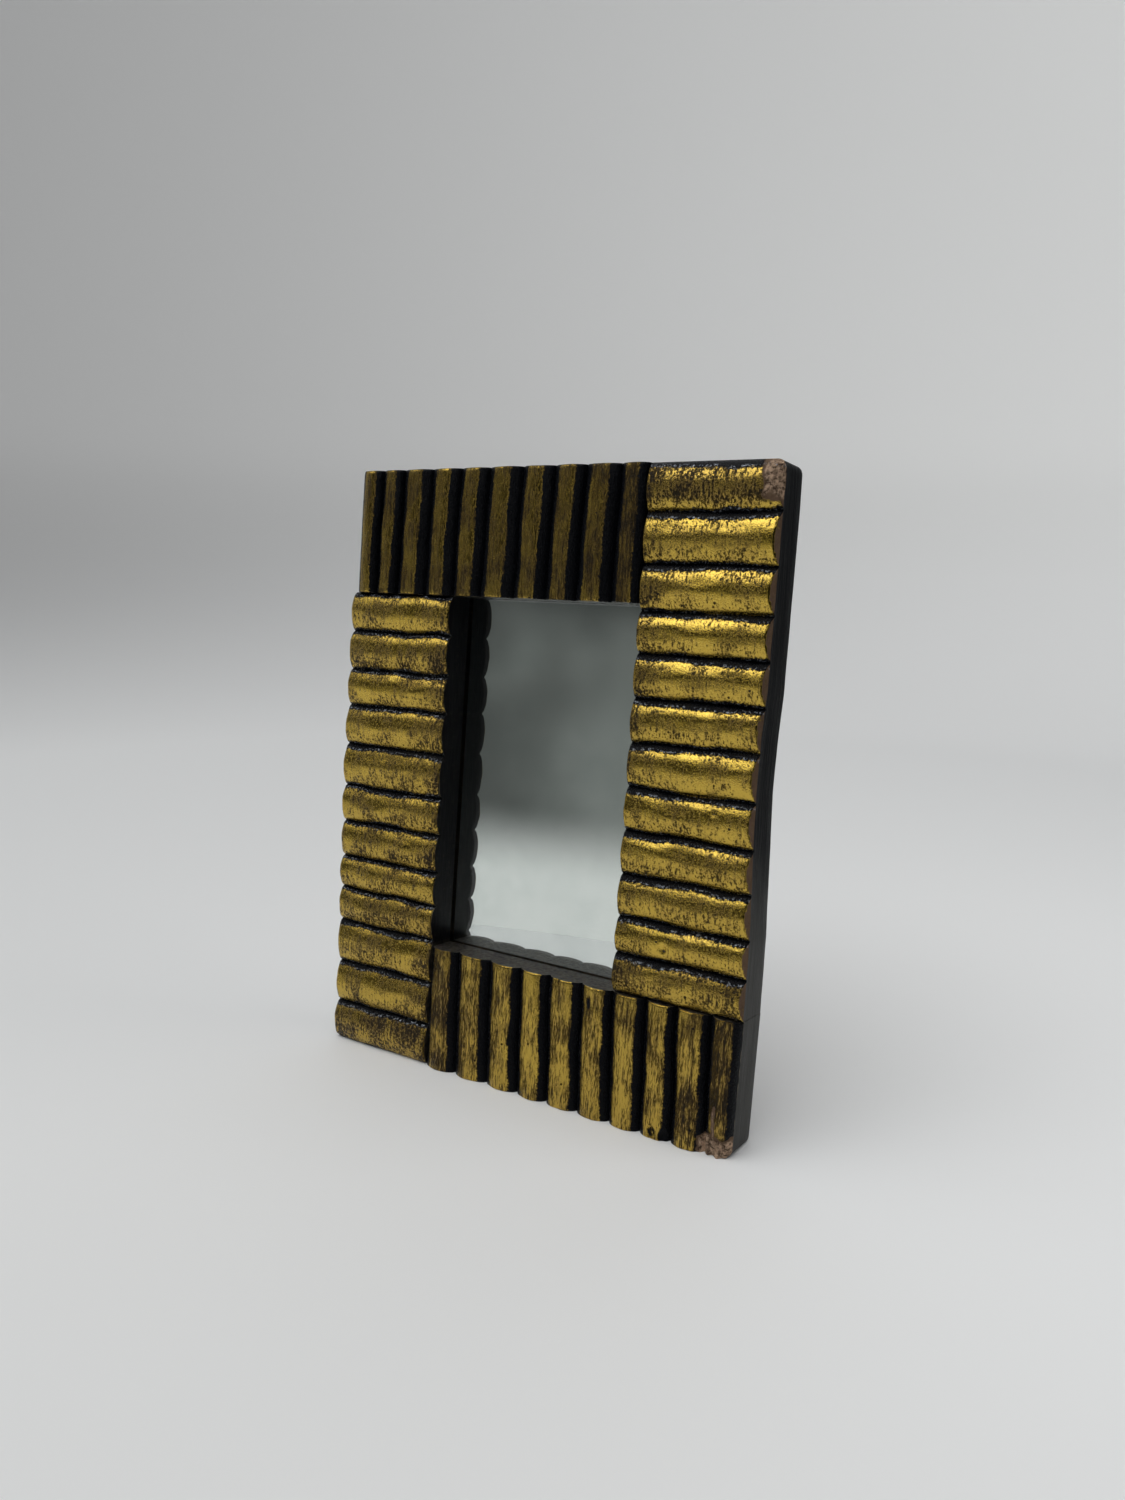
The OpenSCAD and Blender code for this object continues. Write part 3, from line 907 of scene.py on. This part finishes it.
def glass_material():
    s = new_material("mirror_glass")
    s.set(Base_Color=(0.955, 0.972, 0.962), Roughness=0.0, IOR=1.52, Transmission_Weight=1.0)
    return s.owner


def silver_material():
    """Silvering with faint bloom, seen through the glass."""
    s = new_material("silvering")
    bloom = s.ramp(s.noise(s.object_mm(), 0.05, detail=4), 0.35, 0.75, 0.0, 1.0)
    s.set(
        Base_Color=s.mix(bloom, (0.86, 0.88, 0.87), (0.78, 0.81, 0.80)),
        Metallic=1.0,
        Roughness=s.ramp(bloom, 0.0, 1.0, 0.0, 0.03),
    )
    return s.owner


def card_material():
    s = new_material("grey_card")
    fibre = s.noise(s.object_mm(), 2.5, detail=5)
    s.set(Base_Color=s.mix(fibre, (0.30, 0.28, 0.25), (0.45, 0.42, 0.37)), Roughness=0.9)
    s.bump(fibre, 0.05)
    return s.owner


def hardboard_material():
    """Pressed hardboard: brown, with short dark and light fibres and a faint sheen."""
    s = new_material("hardboard")
    place = s.object_mm()
    fibres = s.noise(place, 1.6, detail=6, roughness=0.75, distortion=1.2)
    flecks = s.ramp(s.noise(place, 3.5, detail=2, distortion=2.0), 0.58, 0.7)
    cloud = s.noise(place, 0.035, detail=3)
    colour = s.mix(s.ramp(fibres, 0.3, 0.7), (0.085, 0.045, 0.022), (0.20, 0.115, 0.058))
    colour = s.mix(s.times(flecks, 0.5), colour, (0.32, 0.21, 0.12))
    colour = s.mix(s.times(s.ramp(cloud, 0.4, 0.7), 0.5), colour, (0.075, 0.042, 0.024))
    s.set(Base_Color=colour, Roughness=s.ramp(fibres, 0.3, 0.7, 0.42, 0.62))
    s.bump(fibres, 0.06)
    return s.owner


def metal_material(name, clean, dull, rough):
    """Sheet metal with fine scratches and tarnish."""
    s = new_material(name)
    place = s.object_mm()
    scratches = s.noise(s.stretched(place, (0.5, 6.0, 6.0)), detail=4, roughness=0.7)
    tarnish = s.noise(place, 0.3, detail=5, roughness=0.65)
    s.set(
        Base_Color=s.mix(s.ramp(tarnish, 0.4, 0.68), clean, dull),
        Metallic=1.0,
        Roughness=s.plus(s.ramp(tarnish, 0.35, 0.7, rough, rough + 0.2), s.times(scratches, 0.1)),
    )
    s.bump(scratches, 0.02)
    return s.owner


def beech_material():
    s = new_material("beech")
    grain = s.noise(s.stretched(s.object_mm(), (2.0, 2.0, 0.2)), detail=4)
    s.set(Base_Color=s.mix(grain, (0.42, 0.27, 0.14), (0.62, 0.44, 0.26)), Roughness=0.7)
    return s.owner


def finish_cad_nodes():
    """Gives the CAD nodes that stay their materials, by the record's slots."""
    finishes = {
        "dowel_wood": beech_material(),
        "silvering": silver_material(),
        "grey_card": card_material(),
        "hardboard": hardboard_material(),
        "brass": metal_material("brass", (0.72, 0.50, 0.20), (0.36, 0.24, 0.10), 0.24),
        "zinc_steel": metal_material("zinc_steel", (0.60, 0.61, 0.62), (0.36, 0.36, 0.36), 0.30),
    }
    rounding = {"back_board": 0.25, "easel_strut": 0.35}
    rounding |= {f"turn_button_{n}": 0.2 for n in range(1, 5)}
    rounding |= {"hinge_board_leaf": 0.12, "hinge_strut_leaf": 0.12}
    slots = {p["node"]: p["material_slot"] for p in frame["record"]["subparts"]}
    for name, node in frame["nodes"].items():
        slot = slots[name]
        if name in rounding:
            softened(name, rounding[name], finishes[slot])
        elif slot in finishes:
            node.data.materials.clear()
            node.data.materials.append(finishes[slot])


# ---------------------------------------------------------------- stage, lights and camera

PALE = (0.84, 0.843, 0.84)

# In metres: the floor's radius, then the sweep's, up to its bend, its bend's and its height
FLOOR_R = 0.34
SWEEP_R = 0.75
SWEEP_BEND = 0.25
SWEEP_TOP = 1.2

# The camera, as fitted to the photo: its place in metres, its angles in degrees, and its
# focal length and sensor width in millimetres
CAMERA_PLACE = (0.2134, -0.3348, 0.1886)
CAMERA_TURN = 32.45
CAMERA_PITCH = -10.25
CAMERA_ROLL = 0.59
FOCAL_LENGTH = 27.28
SENSOR_WIDTH = 36


def floor_material():
    s = new_material("pale_floor")
    s.set(Base_Color=PALE, Roughness=0.6)
    return s.owner


def sweep_material():
    """The floor's white carried up behind, glowing a little more as it rises: painted light."""
    s = new_material("pale_sweep_painted_glow")
    height = s.axis(s.object_mm(), "Z")
    s.set(Base_Color=PALE, Roughness=0.6, Emission_Color=PALE)
    # Painted light: a glow that grows with height, brightening the backdrop
    s.set(Emission_Strength=s.ramp(height, 10.0, 320.0, 0.0, 0.26))
    return s.owner


def sweep_rings():
    """Radius and height of the sweep's rings: flat, then bending up into a wall."""
    steps = 12
    rings = [(FLOOR_R, 0.0), (SWEEP_R, 0.0)]
    for step in range(1, steps + 1):
        angle = math.pi / 2 * step / steps
        out, up = SWEEP_BEND * math.sin(angle), SWEEP_BEND * (1 - math.cos(angle))
        rings.append((SWEEP_R + out, up))
    rings.append((SWEEP_R + SWEEP_BEND, SWEEP_TOP))
    return rings


def turned(name, rings, material):
    """A sheet turned about the Z axis through rings of radius and height."""
    sides = 96
    points, faces = [], []
    for radius, height in rings:
        for n in range(sides):
            turn = 2 * math.pi * n / sides
            points.append((radius * math.cos(turn), radius * math.sin(turn), height))
    for ring in range(len(rings) - 1):
        for n in range(sides):
            a, b = ring * sides + n, ring * sides + (n + 1) % sides
            faces.append([a, b, b + sides, a + sides])
    made = mesh_object(name, points, faces, Matrix.Identity(4))
    made.data.shade_smooth()
    made.data.materials.append(material)
    return made


def stage_set():
    """The pale floor, and a sweep behind it that only the camera sees, so that the room's
    light comes from the world all round."""
    middle = 0.0001
    turned("floor", [(middle, 0.0), (FLOOR_R, 0.0)], floor_material())
    sweep = turned("sweep", sweep_rings(), sweep_material())
    sweep.visible_diffuse = False
    sweep.visible_glossy = False
    sweep.visible_transmission = False
    sweep.visible_shadow = False


def room_light():
    """A light tent's surroundings: bright overhead and towards the front, pale on the left
    and behind, dim in front, dark on the right, with a pale floor all round."""
    world = bpy.data.worlds.new("tent")
    bpy.context.scene.world = world
    s = Shader(world)
    background = s.tree.nodes["Background"]
    way = s.node("ShaderNodeTexCoord").outputs["Generated"]
    up, side, back = s.axis(way, "Z"), s.axis(way, "X"), s.axis(way, "Y")
    blotch = s.noise(way, 3.2, detail=3)
    front = s.mix(s.ramp(blotch, 0.40, 0.62), (0.088, 0.093, 0.089), (0.200, 0.211, 0.203))
    front = s.mix(s.ramp(up, 0.08, 0.17), front, (0.018, 0.019, 0.019))
    walls = s.mix(s.ramp(side, -0.97, -0.72), (0.32, 0.33, 0.33), front)
    walls = s.mix(s.ramp(back, 0.0, 0.5), walls, (0.45, 0.46, 0.46))
    colour = s.mix(s.ramp(up, -0.05, -0.12), walls, (0.66, 0.67, 0.66))
    colour = s.mix(s.ramp(side, 0.0, 0.4), colour, (0.008, 0.010, 0.013))
    overhead = s.plus(s.plus(up, s.times(back, -0.38)), s.times(side, -0.20))
    colour = s.mix(s.ramp(overhead, 0.85, 1.00), colour, (2.08, 2.10, 2.11))
    s.feed(background.inputs["Color"], colour)
    background.inputs["Strength"].default_value = 1.0


def soft_box(name, place, target, size, power):
    """A rectangular lamp, aimed at target."""
    data = bpy.data.lights.new(name, "AREA")
    data.shape = "RECTANGLE"
    data.size, data.size_y = size
    data.energy = power
    lamp = bpy.data.objects.new(name, data)
    lamp.location = place
    lamp.rotation_mode = "QUATERNION"
    aim = Vector(target) - Vector(place)
    lamp.rotation_quaternion = aim.to_track_quat("-Z", "Y")
    bpy.context.scene.collection.objects.link(lamp)
    return lamp


def lights():
    """A small bright panel overhead, and a fill that lightens the shadow on the right
    without showing in the black paint there."""
    soft_box(
        "tent_top", place=(-0.20, -0.31, 0.58), target=(0, 0, 0.1), size=(0.26, 0.20), power=0.22
    )
    fill = soft_box(
        "fill", place=(0.42, 0.10, 0.50), target=(0.12, 0, 0), size=(0.3, 0.3), power=0.7
    )
    fill.visible_glossy = False


def camera():
    """The photographer's place: to the right, a little above the middle, looking down."""
    data = bpy.data.cameras.new("camera")
    data.lens = FOCAL_LENGTH
    data.sensor_width = SENSOR_WIDTH
    made = bpy.data.objects.new("camera", data)
    made.matrix_world = (
        Matrix.Translation(CAMERA_PLACE)
        @ Matrix.Rotation(math.radians(CAMERA_TURN), 4, "Z")
        @ Matrix.Rotation(math.pi / 2 + math.radians(CAMERA_PITCH), 4, "X")
        @ Matrix.Rotation(math.radians(CAMERA_ROLL), 4, "Z")
    )
    bpy.context.scene.collection.objects.link(made)
    bpy.context.scene.camera = made


camera()
carved_rails()
finish_cad_nodes()
clear_glass()
stage_set()
room_light()
lights()
bpy.context.scene.view_settings.view_transform = "Standard"
